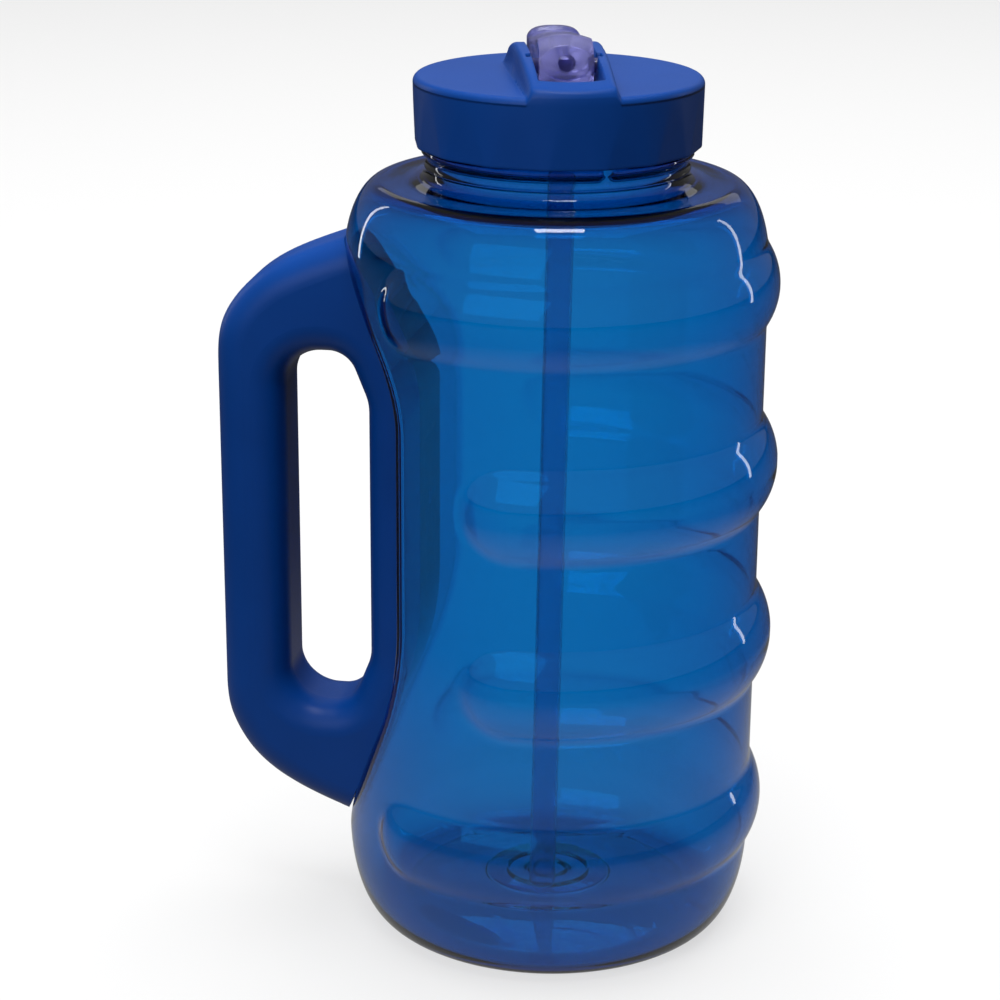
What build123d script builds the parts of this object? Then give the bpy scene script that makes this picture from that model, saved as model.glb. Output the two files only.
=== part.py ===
"""Large water jug: clear ribbed bottle, side handle, screw lid and a folding straw spout.

Row frame: origin at the centre of the foot, +Z up, the handle points along -X.
The lid has its own planes, turned about Z so that its front points between -Y and +X.
Lengths are in millimetres and angles in degrees.
"""

import os
from math import atan, atan2, cos, degrees, radians, sin, sqrt

from build123d import *

os.makedirs("parts", exist_ok=True)

# Bottle body
WALL_R = 60.0  # outside radius of the plain wall
WALL_T = 1.6
BASE_T = 2.6
FOOT_R = 49.5  # outside radius of the flat ring the bottle stands on
FOOT_IN_R = 43.0
PUSH_UP = 4.6  # height of the hollow under the base
BASE_DISC_R = 18.8  # raised disc in the middle of the base
BASE_DISC_H = 0.9
CORNER_Z = 27.5  # top of the rounded corner above the foot
SHOULDER_Z = 199.0
SHOULDER_TOP_Z = 222.6
SHOULDER_IN_R = 49.2

# Rings pressed out of the wall: low Z, high Z, depth, half angle left plain at the handle
RINGS = [
    (26.1, 49.1, 3.6, 43.0),
    (76.8, 103.3, 4.7, 73.0),
    (129.0, 155.2, 4.7, 73.0),
    (183.3, 205.0, 3.4, 45.0),
]

# Recess that the handle stands in: a flat with a sloped end above and below it
RECESS_X = -37.8
RECESS_LOW_Z = 84.0
RECESS_HIGH_Z = 170.0
MOUTH_LOW_Z = 28.0
MOUTH_HIGH_Z = 206.0
RECESS_BEND_R = 14.0
RECESS_EDGE_R = 5.0
RECESS_REACH = 80.0  # half the length of the cutting body

# Neck
NECK_R = 36.5
NECK_T = 2.2
NECK_TOP_Z = 247.6
NECK_SINK = 5.0  # how far the neck's form runs down into the shoulder
NECK_ROOT_W = 9.7  # width of the step between the neck and the shoulder's round
NECK_ROOT_H = 0.8
BEAD_R = 38.1  # ring under the lid, with a gap in it
BEAD_Z = 230.3
BEAD_H = 1.9
BEAD_GAP = 3.0
BEAD_GAP_ANGLE = -61.0
BEAD_FLARE = 0.3  # how much wider a bead is at its root, on each side
LOW_BEAD_R = 37.3
LOW_BEAD_Z = 226.3
LOW_BEAD_H = 0.6

# Screw thread, single start
PITCH = 6.0
THREAD_ROOT_W = 2.3
THREAD_CREST_W = 1.2
THREAD_SINK = 0.5  # how far a thread's root lies inside its wall
NECK_THREAD_R = 38.0
NECK_THREAD_Z = 236.0
NECK_THREAD_TURNS = 1.25
LID_THREAD_R = 37.0
LID_THREAD_Z = NECK_THREAD_Z + PITCH / 2
LID_THREAD_TURNS = 1.0

# Handle
HANDLE_W = 30.0
HANDLE_EDGE_R = 9.0
HANDLE_WALL = 3.0
GRIP_OUT = 97.5
HIGH_ARM = [(-GRIP_OUT, 165.0), (-95.6, 180.0), (-87.0, 191.5), (-74.5, 199.3), (-59.6, 205.2), (-30.0, 214.0)]
LOW_ARM = [(-30.0, 16.0), (-59.0, 27.5), (-77.0, 35.5), (-90.0, 46.0), (-96.0, 57.0), (-GRIP_OUT, 70.0)]
GRIP_IN = 77.5
SPINE_OUT = 53.0
WINDOW_LOW_Z = 62.5
WINDOW_HIGH_Z = 171.5
WINDOW_R = 11.0
SLANT_U = 6.0  # slanted corners of the window, on the spine's side
SLANT_H = 15.0
SLANT_LOW_R = 8.0
SLANT_SIDE_R = 14.0
LOOP_CUT_X = -35.0  # the handle's edges are rounded as far in as this
GAS_HOLE_R = 2.5  # moulding hole into the handle's core, against the bottle
GAS_HOLE_Z = 127.0

# Lid
LID_TURN = 14.0  # from -Y towards +X
LID_LOW_Z = 232.7
LID_TOP_Z = 252.0
LID_LOW_R = 40.15
LID_TOP_R = 40.5
LID_PLATE_T = 2.4
LID_INNER_R = 38.45
LID_RIM_R = 1.6
FACETS = 16
FACET_DEPTH = 0.8
FACET_TOP_Z = 247.0
FACET_TOP_R = 40.4
GASKET_T = 1.5
GASKET_GAP = 0.2
GASKET_IN_R = 33.4
GASKET_OUT_R = 37.9
GASKET_EDGE_R = 0.3

# Spout seat on the lid. U runs forward from the lid's axis.
SADDLE_HALF_W = 13.2
SADDLE_EDGE_R = 1.8
SADDLE_BACK_U = -22.0
SADDLE_ARCH = [(42.0, 255.0), (33.0, 256.5), (12.5, 259.2), (0.0, 260.0), (-13.0, 258.2)]  # U and Z, front to back
APRON_R = 40.3  # round front of the saddle, over the lid's edge
APRON_CURVE = [(39.3, 254.2), (36.5, 256.1), (32.0, 256.9)]  # radius and Z
APRON_IN_Z = 262.0
TROUGH_FRONT_R = 33.4
TROUGH_HALF_W = 8.4
TROUGH_Z = 252.2
PIVOT_U = 12.5
PIVOT_Z = 256.4
PIN_R = 2.0
PIN_HOLE_R = 2.06
PIN_HALF_L = 10.6
PIN_HOLE_HALF_L = 11.0
SNAP_W = 3.0  # grooves that let the pins snap in from above
SNAP_HALF_L = 9.8
SEAT_R = 9.2
BLOCK_U = (1.0, 24.0)
BLOCK_HALF_W = 10.4
BLOCK_CORNER_R = 2.5
BLOCK_LOW_Z = 243.0
NOZZLE_R = 3.1
NOZZLE_BORE_R = 2.3
NOZZLE_LOW_Z = 234.0

# Spout
BARREL_R = 8.6
BARREL_SIDE_R = 7.2
SPOUT_HALF_W = 7.4
PORT_R = 2.4
PORT_RISE = 14.0  # how far above level the port faces when the spout is folded
PORT_FACE = 7.3  # distance of the port's flat face from the pivot
SPOUT_BACK_U = -17.0
MOUTH_Z = 258.8
SPOUT_EDGE_R = 3.2
PASSAGE_L = 12.0  # length of the cut for the port's passage
MOUTHPIECE_TOP = [(4.0, 264.0), (-6.0, 262.9), (-10.5, 262.3), (-13.5, 263.0), (-16.0, 263.2)]  # U and Z
MOUTHPIECE_LOW = [(-15.4, 254.2), (-13.5, 254.4), (-10.5, 255.0), (-4.0, 254.2), (7.5, 252.9)]

# Spout seal
SEAL_R = 5.6
SEAL_LOW_Z = 244.6
SEAL_TOP_R = 8.9

# Straw
STRAW_R = 3.9
STRAW_T = 0.65
STRAW_TOP_Z = 242.4
STRAW_LOW_Z = 8.6
STRAW_LEAN = 0.75

# Air valve
VENT_U = -27.0
VENT_R = 1.6
VENT_CAP_R = 4.2
VENT_CAP_T = 1.3
VENT_EDGE_T = 0.5
VENT_BULB_R = 2.1
VENT_BULB_H = 1.4
AIR_HOLE_R = 0.6
AIR_HOLE_RING_R = 2.8
AIR_HOLES = 4

TURN = radians(LID_TURN)
FORWARD = Vector(sin(TURN), -cos(TURN), 0)
SIDEWAYS = Vector(cos(TURN), sin(TURN), 0)
SIDE = Plane(origin=(0, 0, 0), x_dir=FORWARD, z_dir=-SIDEWAYS)  # local X is U, local Y is Z


def level(z, u=0.0):
    """Level plane at height z, its origin u forward of the lid's axis, its X forward."""
    return Plane(origin=FORWARD * u + Vector(0, 0, z), x_dir=FORWARD, z_dir=(0, 0, 1))


def save(name, part):
    part.label = name
    export_step(part, f"parts/{name}.step")


def ring_section(low, high, depth):
    """Radius of a ring's round section, and its centre's distance from the bottle's axis."""
    half = (high - low) / 2
    r = (half**2 + depth**2) / (2 * depth)
    return r, WALL_R + depth - r


def ring_end_angle(r, centre, plain):
    """Angle from the handle to the middle of a ring's ball end."""
    x = (WALL_R**2 - r**2 + centre**2) / (2 * centre)
    return plain + degrees(atan2(sqrt(WALL_R**2 - x**2), x))


def add_ring(low, high, depth, plain, inset):
    """One pressed ring: a bent round bar with ball ends, joined to the part being built."""
    r, centre = ring_section(low, high, depth)
    end = ring_end_angle(r, centre, plain)
    z = (low + high) / 2
    start = radians(180 + end)
    out = Vector(cos(start), sin(start), 0)
    with BuildSketch(Plane(origin=(0, 0, z), x_dir=out, z_dir=out.cross(Vector(0, 0, 1)))) as section:
        with Locations((centre, 0)):
            Circle(r - inset)
    revolve(section.sketch, axis=Axis.Z, revolution_arc=360 - 2 * end)
    for angle in (180 + end, 180 - end):
        with Locations((centre * cos(radians(angle)), centre * sin(radians(angle)), z)):
            Sphere(r - inset)


def recess_sketch(inset):
    """Side view of the recess, open to the handle's side, on a plane behind the bottle."""
    x = RECESS_X + inset
    far = 140.0
    mouth = -WALL_R + inset
    rise = (MOUTH_HIGH_Z - RECESS_HIGH_Z) / (RECESS_X + WALL_R)
    fall = (RECESS_LOW_Z - MOUTH_LOW_Z) / (RECESS_X + WALL_R)
    low = (mouth - far, MOUTH_LOW_Z - fall * far)
    high = (mouth - far, MOUTH_HIGH_Z + rise * far)
    with BuildSketch(Plane.XZ.offset(-RECESS_REACH)) as side:
        with BuildLine():
            bend = RECESS_BEND_R - inset
            FilletPolyline(low, (x, RECESS_LOW_Z), (x, RECESS_HIGH_Z), high, radius=bend)
            Line(high, low)
        make_face()
    return side.sketch


def body_form(inset, base_z):
    """The bottle's form below the neck, moved inwards by inset, with its base at base_z."""
    wall = WALL_R - inset
    top = SHOULDER_TOP_Z - inset
    dome = PUSH_UP + base_z
    disc = dome + BASE_DISC_H
    with BuildPart() as form:
        with BuildSketch(Plane.XZ):
            with BuildLine():
                Line((0, disc), (BASE_DISC_R - 0.6, disc))
                Line((BASE_DISC_R - 0.6, disc), (BASE_DISC_R, dome))
                ThreePointArc((BASE_DISC_R, dome), (33, dome * 0.72 + base_z * 0.28), (FOOT_IN_R, base_z))
                Line((FOOT_IN_R, base_z), (FOOT_R, base_z))
                EllipticalCenterArc((FOOT_R, CORNER_Z), wall - FOOT_R, CORNER_Z - base_z, -90, arc_size=90)
                Line((wall, CORNER_Z), (wall, SHOULDER_Z))
                EllipticalCenterArc(
                    (SHOULDER_IN_R, SHOULDER_Z), wall - SHOULDER_IN_R, top - SHOULDER_Z, 0, arc_size=90
                )
                Line((SHOULDER_IN_R, top), (0, top))
                Line((0, top), (0, disc))
            make_face()
        revolve(axis=Axis.Z)
        extrude(recess_sketch(inset), amount=2 * RECESS_REACH, mode=Mode.SUBTRACT)
        mouth = form.edges(Select.LAST).filter_by(Axis.Y, reverse=True)
        fillet(mouth, RECESS_EDGE_R - inset / 2)
        for low, high, depth, plain in RINGS:
            add_ring(low, high, depth, plain, inset)
    return form.part


def add_thread(wall_r, crest_r, z, turns):
    """A trapezoidal screw ridge from the wall out, or in, to the crest."""
    outward = 1 if crest_r > wall_r else -1
    root = -THREAD_SINK * outward
    crest = crest_r - wall_r
    with BuildLine() as path:
        Helix(pitch=PITCH, height=PITCH * turns, radius=wall_r, center=(0, 0, z))
    with BuildSketch(Plane(origin=(wall_r, 0, z), x_dir=(1, 0, 0), z_dir=path.line % 0)) as section:
        with BuildLine():
            Polyline(
                (root, -THREAD_ROOT_W / 2),
                (crest, -THREAD_CREST_W / 2),
                (crest, THREAD_CREST_W / 2),
                (root, THREAD_ROOT_W / 2),
                close=True,
            )
        make_face()
    sweep(section.sketch, path=path.line, is_frenet=True)


def neck_sketch():
    """Half section of the neck's outside with its two beads, run down into the shoulder."""
    sunk_z = SHOULDER_TOP_Z - NECK_SINK
    root_r = NECK_R + NECK_ROOT_W
    low_bead_top = LOW_BEAD_Z + LOW_BEAD_H
    bead_top = BEAD_Z + BEAD_H
    with BuildSketch(Plane.XZ) as half:
        with BuildLine():
            Polyline(
                (0, sunk_z),
                (root_r, sunk_z),
                (root_r, SHOULDER_TOP_Z),
                (NECK_R, SHOULDER_TOP_Z + NECK_ROOT_H),
                (NECK_R, LOW_BEAD_Z - BEAD_FLARE),
                (LOW_BEAD_R, LOW_BEAD_Z),
                (LOW_BEAD_R, low_bead_top),
                (NECK_R, low_bead_top + BEAD_FLARE),
                (NECK_R, BEAD_Z - BEAD_FLARE),
                (BEAD_R, BEAD_Z),
                (BEAD_R, bead_top),
                (NECK_R, bead_top + BEAD_FLARE),
                (NECK_R, NECK_TOP_Z),
                (0, NECK_TOP_Z),
                close=True,
            )
        make_face()
    return half.sketch


def cut_bead_gap():
    """The gap in the ring under the lid, just deeper than the ring stands out."""
    deep = 2 * (BEAD_R - NECK_R)
    with Locations(Rotation(0, 0, BEAD_GAP_ANGLE)):
        with Locations((NECK_R, 0, BEAD_Z + BEAD_H / 2)):
            bottom = (Align.MIN, Align.CENTER, Align.CENTER)
            Box(deep, BEAD_GAP, BEAD_H + 4 * BEAD_FLARE, align=bottom, mode=Mode.SUBTRACT)


def make_bottle():
    with BuildPart() as bottle:
        add(body_form(0, 0))
        revolve(neck_sketch(), axis=Axis.Z)
        cut_bead_gap()
        add_thread(NECK_R, NECK_THREAD_R, NECK_THREAD_Z, NECK_THREAD_TURNS)
        add(body_form(WALL_T, BASE_T), mode=Mode.SUBTRACT)
        with BuildSketch(Plane.XY.offset(SHOULDER_TOP_Z - 2 * NECK_SINK)) as bore:
            Circle(NECK_R - NECK_T)
        extrude(bore.sketch, until=Until.LAST, mode=Mode.SUBTRACT)
    return bottle.part


def window_sketch(grow):
    """The handle's window, grown by grow: a tall slot with slanted corners on the spine's side."""
    grip = -GRIP_IN - grow
    spine = -SPINE_OUT + grow
    low = WINDOW_LOW_Z - grow
    high = WINDOW_HIGH_Z + grow
    with BuildSketch(Plane.XZ) as window:
        with BuildLine():
            Polyline(
                (grip, low),
                (grip, high),
                (spine - SLANT_U, high),
                (spine, high - SLANT_H),
                (spine, low + SLANT_H),
                (spine - SLANT_U, low),
                close=True,
            )
        make_face()
        fillet(window.vertices().group_by(Axis.X)[0], WINDOW_R)
        fillet(window.vertices().filter_by(lambda v: abs(v.X - spine + SLANT_U) < 0.1), SLANT_LOW_R)
        fillet(window.vertices().filter_by(lambda v: abs(v.X - spine) < 0.1), SLANT_SIDE_R)
    return window.sketch


def moved_in(points, inset):
    """The points of an arm's curve, each moved to the right of the way the curve runs."""
    moved = []
    for i, point in enumerate(points):
        before = Vector(*points[max(i - 1, 0)])
        after = Vector(*points[min(i + 1, len(points) - 1)])
        way = (after - before).normalized()
        moved.append((point[0] + way.Y * inset, point[1] - way.X * inset))
    return moved


def loop_sketch(inset):
    """Side view of the handle's loop with its window, run on past the recess, shrunk by inset."""
    high_arm = moved_in(HIGH_ARM, inset)
    low_arm = moved_in(LOW_ARM, inset)
    with BuildSketch(Plane.XZ) as side:
        with BuildLine():
            high = Spline(*high_arm, tangents=[(0, 1), (1, 0.27)])
            low = Spline(*low_arm, tangents=[(-1, 0.4), (0, 1)])
            Line(low @ 1, high @ 0)
            Line(high @ 1, low @ 0)
        make_face()
        add(window_sketch(inset), mode=Mode.SUBTRACT)
    return side.sketch


def loop_form(inset, edge_r):
    """The handle's rounded loop, cut where it meets the bottle's recess."""
    half = HANDLE_W / 2 - inset
    with BuildPart() as form:
        extrude(loop_sketch(inset), amount=half, both=True)
        rims = form.faces().filter_by(Axis.Y).edges()
        fillet(rims.filter_by(lambda e: e.center().X < LOOP_CUT_X), edge_r)
        extrude(recess_sketch(-inset), amount=2 * RECESS_REACH, mode=Mode.INTERSECT)
    return form.part


def make_handle():
    with BuildPart() as handle:
        add(loop_form(0, HANDLE_EDGE_R))
        add(loop_form(HANDLE_WALL, HANDLE_EDGE_R - HANDLE_WALL), mode=Mode.SUBTRACT)
        with Locations(Location((RECESS_X, 0, GAS_HOLE_Z), (0, 90, 0))):
            Cylinder(GAS_HOLE_R, 4 * HANDLE_WALL, mode=Mode.SUBTRACT)
    return handle.part


def lid_shell_sketch():
    """Half section of the lid's plate and skirt."""
    with BuildSketch(Plane.XZ) as half:
        with BuildLine():
            Polyline(
                (0, LID_TOP_Z - LID_PLATE_T),
                (LID_INNER_R, LID_TOP_Z - LID_PLATE_T),
                (LID_INNER_R, LID_LOW_Z),
                (LID_LOW_R, LID_LOW_Z),
                (LID_TOP_R, LID_TOP_Z),
                (0, LID_TOP_Z),
                close=True,
            )
        make_face()
        fillet(half.vertices().sort_by_distance((LID_TOP_R, 0, LID_TOP_Z))[0], LID_RIM_R)
    return half.sketch


def saddle_sketch():
    """Side view of the raised saddle, sunk into the plate: U to the front, with the ears' long arch."""
    base = LID_TOP_Z - LID_PLATE_T / 2
    front = SADDLE_ARCH[0]
    with BuildSketch(SIDE) as side:
        with BuildLine():
            Spline(*SADDLE_ARCH, (SADDLE_BACK_U, base), tangents=[(-1, 0.1), (-0.35, -1)])
            Polyline((SADDLE_BACK_U, base), (front[0], base), front)
        make_face()
    return side.sketch


def saddle_envelope():
    """Half section of the dome that rounds the saddle's front over the lid's edge."""
    base = LID_TOP_Z - LID_PLATE_T / 2
    inner_r = APRON_CURVE[-1][0]
    with BuildSketch(Plane.XZ) as half:
        with BuildLine():
            Spline((APRON_R, base), *APRON_CURVE, tangents=[(0, 1), (-1, 0.05)])
            Polyline(APRON_CURVE[-1], (inner_r, APRON_IN_Z), (0, APRON_IN_Z), (0, base), (APRON_R, base))
        make_face()
    return half.sketch


def make_saddle():
    with BuildPart() as saddle:
        extrude(saddle_sketch(), amount=SADDLE_HALF_W, both=True)
        rims = saddle.faces().filter_by(Axis((0, 0, 0), SIDEWAYS)).edges()
        fillet(rims.filter_by(lambda e: e.center().Z > LID_TOP_Z), SADDLE_EDGE_R)
        revolve(saddle_envelope(), axis=Axis.Z, mode=Mode.INTERSECT)
    return saddle.part


def cut_facets():
    """Shallow grip facets, deepest at the skirt's lower edge and fading out below the top."""
    lean = degrees(atan(FACET_DEPTH / (FACET_TOP_Z - LID_LOW_Z)))
    tall = 2 * (FACET_TOP_Z - LID_LOW_Z)
    wide = 2 * LID_TOP_R
    with PolarLocations(FACET_TOP_R, FACETS, start_angle=LID_TURN):
        with Locations(Location((0, 0, FACET_TOP_Z), (0, lean, 0))):
            beyond = (Align.MIN, Align.CENTER, Align.CENTER)
            Box(tall, wide, tall, align=beyond, mode=Mode.SUBTRACT)


def bore(u, low_z, high_z, r):
    """A level-ended round hole in the part being built."""
    with BuildSketch(level(low_z, u)) as hole:
        Circle(r)
    extrude(hole.sketch, amount=high_z - low_z, mode=Mode.SUBTRACT)


def cross_bore(r, half_l):
    """A round hole along the spout's axis."""
    with BuildSketch(SIDE) as hole:
        with Locations((PIVOT_U, PIVOT_Z)):
            Circle(r)
    extrude(hole.sketch, amount=half_l, both=True, mode=Mode.SUBTRACT)


def add_block():
    """The block under the plate for the barrel's seat, and the nozzle that the straw pushes onto."""
    front, back = BLOCK_U
    with BuildSketch(level(BLOCK_LOW_Z, (front + back) / 2)) as block:
        RectangleRounded(back - front, 2 * BLOCK_HALF_W, BLOCK_CORNER_R)
    extrude(block.sketch, amount=LID_TOP_Z - LID_PLATE_T / 2 - BLOCK_LOW_Z)
    with BuildSketch(level(NOZZLE_LOW_Z, PIVOT_U)) as nozzle:
        Circle(NOZZLE_R)
    extrude(nozzle.sketch, amount=BLOCK_LOW_Z - NOZZLE_LOW_Z)


def cut_trough():
    """The trough between the ears, with a round front."""
    with BuildSketch(level(TROUGH_Z)) as plan:
        Circle(TROUGH_FRONT_R)
        Rectangle(2 * WALL_R, 2 * TROUGH_HALF_W, mode=Mode.INTERSECT)
    extrude(plan.sketch, amount=APRON_IN_Z - TROUGH_Z, mode=Mode.SUBTRACT)


def cut_snap_grooves():
    with BuildSketch(SIDE) as groove:
        with Locations((PIVOT_U, PIVOT_Z)):
            Rectangle(SNAP_W, APRON_IN_Z - PIVOT_Z, align=(Align.CENTER, Align.MIN))
    extrude(groove.sketch, amount=SNAP_HALF_L, both=True, mode=Mode.SUBTRACT)


def cut_vents():
    """The air valve's hole with small air holes around it."""
    with BuildSketch(level(BLOCK_LOW_Z, VENT_U)) as vents:
        Circle(VENT_R)
        with PolarLocations(AIR_HOLE_RING_R, AIR_HOLES):
            Circle(AIR_HOLE_R)
    extrude(vents.sketch, amount=APRON_IN_Z - BLOCK_LOW_Z, mode=Mode.SUBTRACT)


def make_lid():
    with BuildPart() as lid:
        revolve(lid_shell_sketch(), axis=Axis.Z)
        cut_facets()
        add_thread(LID_INNER_R, LID_THREAD_R, LID_THREAD_Z, LID_THREAD_TURNS)
        add(make_saddle())
        add_block()
        cut_trough()
        cross_bore(SEAT_R, TROUGH_HALF_W)
        bore(PIVOT_U, SEAL_LOW_Z, PIVOT_Z, SEAL_R)
        bore(PIVOT_U, NOZZLE_LOW_Z, PIVOT_Z, NOZZLE_BORE_R)
        cross_bore(PIN_HOLE_R, PIN_HOLE_HALF_L)
        cut_snap_grooves()
        cut_vents()
    return lid.part


def make_gasket():
    with BuildPart() as gasket:
        with BuildSketch(Plane.XY.offset(NECK_TOP_Z + GASKET_GAP)):
            Circle(GASKET_OUT_R)
            Circle(GASKET_IN_R, mode=Mode.SUBTRACT)
        extrude(amount=GASKET_T)
        fillet(gasket.edges(), GASKET_EDGE_R)
    return gasket.part


def barrel_sketch():
    """Half section of the spout's barrel, crowned in the middle, about the pivot."""
    with BuildSketch(level(PIVOT_Z, PIVOT_U)) as half:
        with BuildLine():
            side = SPOUT_HALF_W
            ThreePointArc((BARREL_SIDE_R, -side), (BARREL_R, 0), (BARREL_SIDE_R, side))
            Polyline(
                (BARREL_SIDE_R, side),
                (PIN_R, side),
                (PIN_R, PIN_HALF_L),
                (0, PIN_HALF_L),
                (0, -PIN_HALF_L),
                (PIN_R, -PIN_HALF_L),
                (PIN_R, -side),
                (BARREL_SIDE_R, -side),
            )
        make_face()
    return half.sketch


def mouthpiece_sketch():
    """Side view of the folded mouthpiece, from the pivot back to its flared tip."""
    barrel_top = (PIVOT_U, PIVOT_Z + BARREL_SIDE_R)
    with BuildSketch(SIDE) as side:
        with BuildLine():
            Spline(barrel_top, *MOUTHPIECE_TOP, tangents=[(-1, 0.2), (-1, 0)])
            ThreePointArc(MOUTHPIECE_TOP[-1], (SPOUT_BACK_U, MOUTH_Z), MOUTHPIECE_LOW[0])
            Spline(*MOUTHPIECE_LOW, tangents=[(1, 0), (1, -0.15)])
            Polyline(MOUTHPIECE_LOW[-1], (PIVOT_U, PIVOT_Z), barrel_top)
        make_face()
    return side.sketch


def tube_between(start, end, r):
    """A bored straight passage between two points."""
    way = end - start
    with BuildSketch(Plane(origin=start, z_dir=way)) as mouth:
        Circle(r)
    extrude(mouth.sketch, amount=way.length, mode=Mode.SUBTRACT)


def side_point(u, z):
    return FORWARD * u + Vector(0, 0, z)


def make_spout():
    rise = radians(PORT_RISE)
    pivot = side_point(PIVOT_U, PIVOT_Z)
    port = side_point(PIVOT_U + PASSAGE_L * cos(rise), PIVOT_Z + PASSAGE_L * sin(rise))
    mouth = side_point(SPOUT_BACK_U - PORT_R, MOUTH_Z)
    with BuildPart() as spout:
        extrude(mouthpiece_sketch(), amount=SPOUT_HALF_W, both=True)
        rims = spout.faces().filter_by(Axis((0, 0, 0), SIDEWAYS)).edges()
        fillet(rims.filter_by(lambda e: e.center().dot(FORWARD) < MOUTHPIECE_LOW[-1][0] + 1), SPOUT_EDGE_R)
        revolve(barrel_sketch(), axis=Axis(pivot, SIDEWAYS))
        face = Plane(origin=pivot, x_dir=SIDEWAYS, z_dir=(port - pivot))
        with BuildSketch(face.offset(PORT_FACE)) as cut:
            Rectangle(2 * PASSAGE_L, 2 * PASSAGE_L)
        extrude(cut.sketch, amount=BARREL_R, mode=Mode.SUBTRACT)
        tube_between(pivot, port, PORT_R)
        tube_between(pivot, mouth, PORT_R)
    return spout.part


def make_spout_seal():
    with BuildPart() as seal:
        with BuildSketch(level(SEAL_LOW_Z, PIVOT_U)) as ring:
            Circle(SEAL_R)
            Circle(NOZZLE_BORE_R, mode=Mode.SUBTRACT)
        extrude(ring.sketch, amount=PIVOT_Z - SEAL_LOW_Z)
        cross_bore(SEAL_TOP_R, 2 * SEAL_R)
    return seal.part


def make_straw():
    """Straight tube that leans a little, with a slanted lower end."""
    top = side_point(PIVOT_U, STRAW_TOP_Z)
    lean = radians(STRAW_LEAN)
    down = Vector(-sin(lean), 0, -cos(lean))
    with BuildPart() as straw:
        with BuildSketch(Plane(origin=top, z_dir=down)) as ring:
            Circle(STRAW_R)
            Circle(STRAW_R - STRAW_T, mode=Mode.SUBTRACT)
        extrude(ring.sketch, amount=STRAW_TOP_Z - STRAW_LOW_Z)
    return straw.part


def make_vent_valve():
    """Umbrella valve: a thin cap under the plate, a stem through it and a snap bulb on top."""
    low = LID_TOP_Z - LID_PLATE_T
    with BuildPart() as valve:
        with BuildSketch(Plane(origin=side_point(VENT_U, 0), x_dir=FORWARD, z_dir=-SIDEWAYS)) as half:
            with BuildLine():
                Polyline(
                    (0, low - VENT_CAP_T),
                    (VENT_CAP_R / 2, low - VENT_CAP_T),
                    (VENT_CAP_R, low - VENT_EDGE_T),
                    (VENT_CAP_R, low),
                    (VENT_R, low),
                    (VENT_R, LID_TOP_Z),
                    (VENT_BULB_R, LID_TOP_Z),
                    (VENT_R, LID_TOP_Z + VENT_BULB_H),
                    (0, LID_TOP_Z + VENT_BULB_H),
                    close=True,
                )
            make_face()
        revolve(half.sketch, axis=Axis(side_point(VENT_U, 0), (0, 0, 1)))
    return valve.part


PIECES = {
    "bottle": make_bottle,
    "handle": make_handle,
    "lid": make_lid,
    "gasket": make_gasket,
    "spout": make_spout,
    "spout_seal": make_spout_seal,
    "straw": make_straw,
    "vent_valve": make_vent_valve,
}

for name, make in PIECES.items():
    save(name, make())

print("litres inside", round(body_form(WALL_T, BASE_T).volume / 1e6, 2))
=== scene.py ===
"""Looks of the large water jug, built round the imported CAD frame.

The shapes are worked out in millimetres and turned into metres when a mesh is made."""

from math import atan2, cos, hypot, pi, radians, sin, sqrt

import bmesh
import bpy
import numpy as np
from mathutils import Matrix, Vector


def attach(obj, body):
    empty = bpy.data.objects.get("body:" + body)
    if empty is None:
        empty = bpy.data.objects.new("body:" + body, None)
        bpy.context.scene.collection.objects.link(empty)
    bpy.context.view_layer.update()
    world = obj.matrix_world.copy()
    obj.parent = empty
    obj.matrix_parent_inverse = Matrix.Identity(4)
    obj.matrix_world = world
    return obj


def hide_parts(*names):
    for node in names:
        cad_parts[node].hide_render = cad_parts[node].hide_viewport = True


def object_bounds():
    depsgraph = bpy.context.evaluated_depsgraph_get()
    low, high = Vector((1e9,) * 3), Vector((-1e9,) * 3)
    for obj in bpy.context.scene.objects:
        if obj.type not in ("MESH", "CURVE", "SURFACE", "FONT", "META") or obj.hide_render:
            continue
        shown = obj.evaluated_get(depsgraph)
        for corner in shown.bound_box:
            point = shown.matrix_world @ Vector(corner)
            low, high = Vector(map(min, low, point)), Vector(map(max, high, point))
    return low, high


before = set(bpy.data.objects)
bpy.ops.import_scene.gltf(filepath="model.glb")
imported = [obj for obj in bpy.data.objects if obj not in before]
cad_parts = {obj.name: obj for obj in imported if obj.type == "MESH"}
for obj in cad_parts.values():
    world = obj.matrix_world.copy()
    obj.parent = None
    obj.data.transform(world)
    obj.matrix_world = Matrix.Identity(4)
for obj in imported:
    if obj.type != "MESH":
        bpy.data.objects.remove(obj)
cad_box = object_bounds()

MM = 0.001  # one millimetre, in metres

# Camera: the photograph's viewing angle
CAMERA_AT = (97.96, -717.04, 373.02)
CAMERA_TURN = radians(9.0)
CAMERA_DOWN = radians(18.75)
CAMERA_ROLL = radians(0.415)
CAMERA_LENS = 94.25

# Stage, in metres and light strengths. "Lit" is what lights and reflects, "seen" what the eye sees.
NEAR_FLOOR_R = 0.11  # the floor is brightest in reflections out to here from the bottle's middle
FAR_FLOOR_R = 0.3  # and dim from here outwards
NEAR_FLOOR_GLOW = 0.34
FLOOR_LIT = 0.04
FLOOR_SEEN = 0.2
FLOOR_GLOW_SEEN = 0.65
WORLD_LIT = 0.14
WORLD_SEEN = 1.0
FLOOR_HALF = 6.0
FLOOR_Z = -0.0002

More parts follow.
